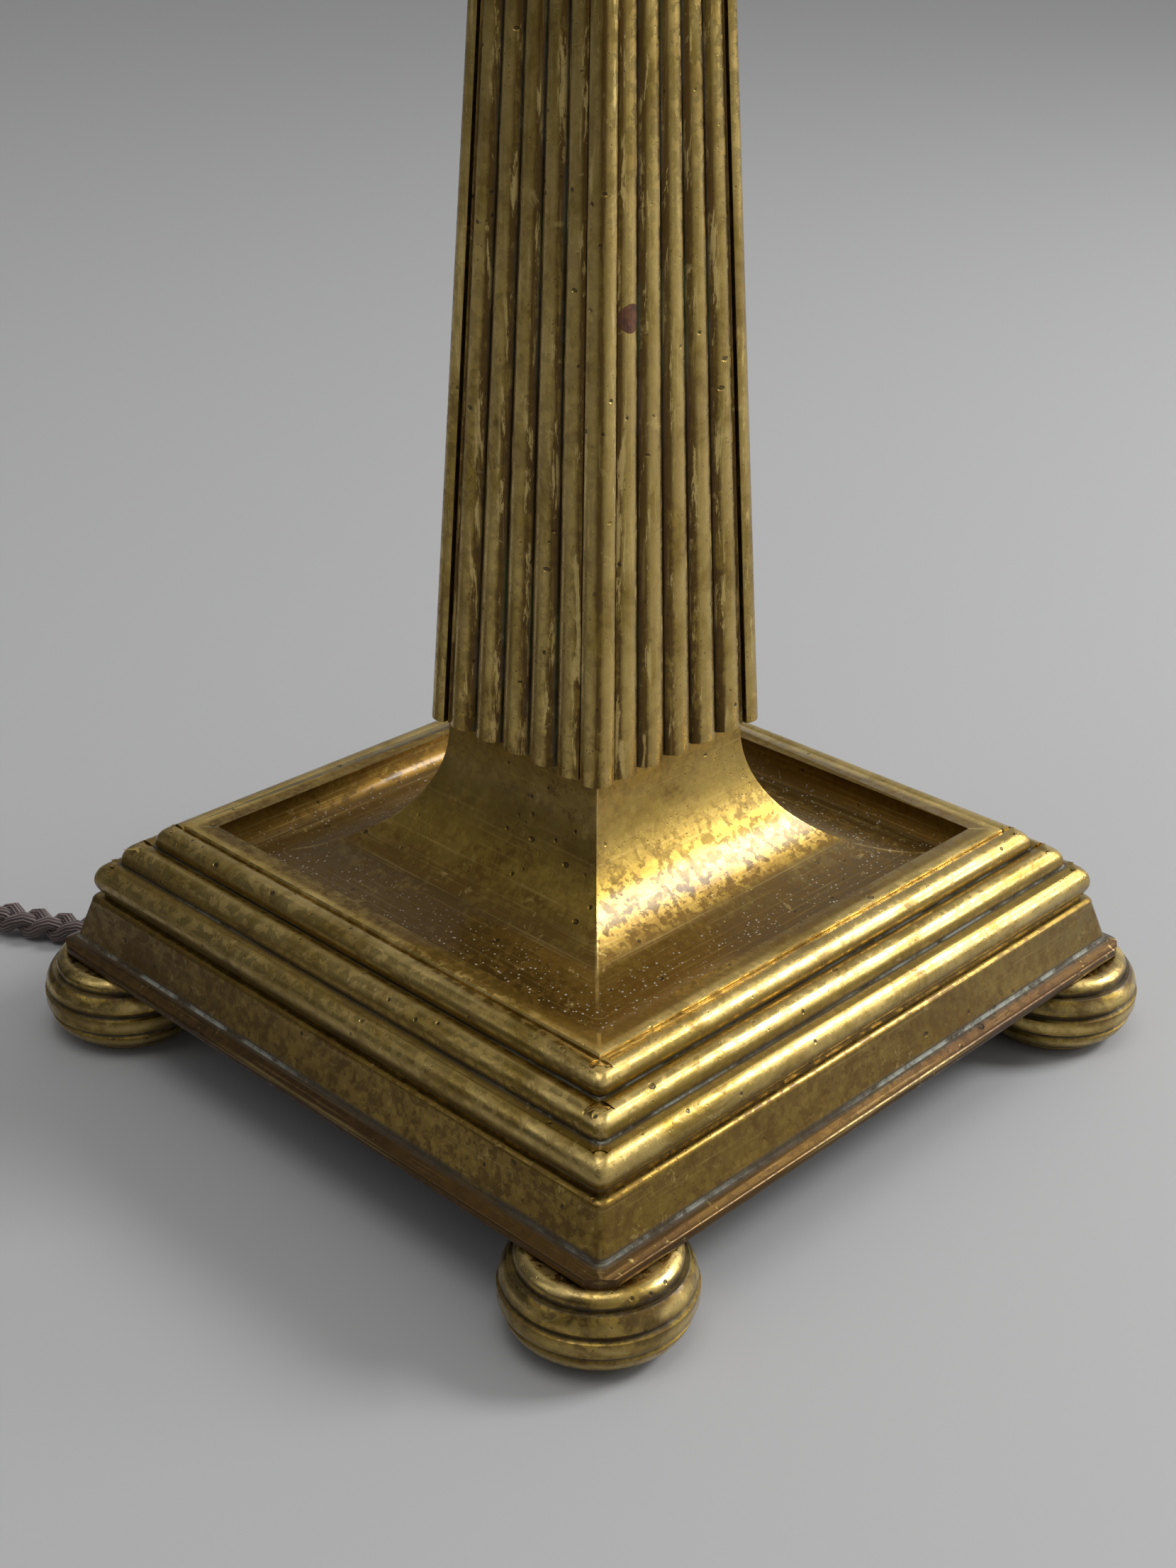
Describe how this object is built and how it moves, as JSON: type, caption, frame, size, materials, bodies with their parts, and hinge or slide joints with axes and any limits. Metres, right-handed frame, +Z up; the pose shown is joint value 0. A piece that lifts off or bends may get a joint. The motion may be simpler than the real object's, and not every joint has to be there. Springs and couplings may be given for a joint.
{
  "type": "torchiere floor lamp",
  "caption": "Torchiere floor lamp in aged brass: moulded square plinth on bun feet, reeded tapering column, slender stem, upturned bowl, plaited cord with foot switch.",
  "frame": {"origin": "centre of the plinth's footprint on the floor", "axes": "+Z up the stem; the plinth's sides lie along X and Y; the corner at -X -Y is the front one and the cord leaves at the back left, at -X +Y"},
  "size_m": [0.4928, 0.5458, 1.7256],
  "materials": {
    "aged_brass": "aged satin brass with brown patina and worn golden edges",
    "rubbed_brass": "turned brass, handled bright, dark in the grooves",
    "copper": "dull red copper plug",
    "plated_steel": "zinc plated, dull",
    "painted_steel": "black stoved paint, scuffed",
    "iron": "rough cast",
    "terminal_brass": "bright brass",
    "bakelite": "dark brown moulded, soft gloss",
    "porcelain": "glazed white insulator",
    "bulb_glass": "clear glass",
    "filament": "pale phosphor rods",
    "solder": "dull solder",
    "plaited_silk": "three silk-covered cores in a chunky plait, dark brown with a mauve sheen",
    "wire_cloth": "braided sleeve",
    "tie_cloth": "woven strap"
  },
  "bodies": {
    "lamp": {"base_plinth": "aged_brass", "column": "aged_brass", "capital": "aged_brass", "stem_lower": "aged_brass", "stem_upper": "aged_brass", "bowl": "aged_brass", "foot_front_left": "rubbed_brass", "foot_front_right": "rubbed_brass", "foot_rear_left": "rubbed_brass", "foot_rear_right": "rubbed_brass", "knop_lower": "rubbed_brass", "stem_coupling": "rubbed_brass", "knop_upper": "rubbed_brass", "bowl_cup": "rubbed_brass", "bowl_lip": "rubbed_brass", "column_pin": "copper", "foot_studs": "plated_steel", "base_plate_screws": "plated_steel", "tie_rod": "plated_steel", "base_washer": "plated_steel", "base_nut": "plated_steel", "cord_anchor_screws": "plated_steel", "bowl_washer": "plated_steel", "bowl_nut": "plated_steel", "bulb_cap": "plated_steel", "switch_spring": "plated_steel", "switch_screws": "plated_steel", "plug_pins": "plated_steel", "base_plate": "painted_steel", "base_weight": "iron", "earth_screw": "terminal_brass", "holder_contact": "terminal_brass", "switch_contacts": "terminal_brass", "cord_anchor": "bakelite", "cord_relief": "bakelite", "holder_cap": "bakelite", "holder_shell": "bakelite", "switch_base": "bakelite", "switch_cover": "bakelite", "switch_relief_in": "bakelite", "switch_relief_out": "bakelite", "plug_body": "bakelite", "plug_relief": "bakelite", "holder_insert": "porcelain", "bulb_globe": "bulb_glass", "bulb_stem": "bulb_glass", "bulb_filament": "filament", "bulb_contact": "solder", "cord_run": "plaited_silk", "cord_coil_lead": "plaited_silk", "cord_coil": "plaited_silk", "cord_plug_lead": "plaited_silk", "base_lead": "wire_cloth", "wire_cores": "wire_cloth", "coil_tie": "tie_cloth"},
    "button": {"switch_button": "rubbed_brass"}
  },
  "joints": [
    {"name": "switch_press", "type": "slide", "parent": "lamp", "child": "button", "axis": [0, 0, -1], "range_m": [0, 0.003], "stiffness_N_per_m": 1200, "springref_m": -0.002, "deforming": ["switch_spring"]}
  ]
}
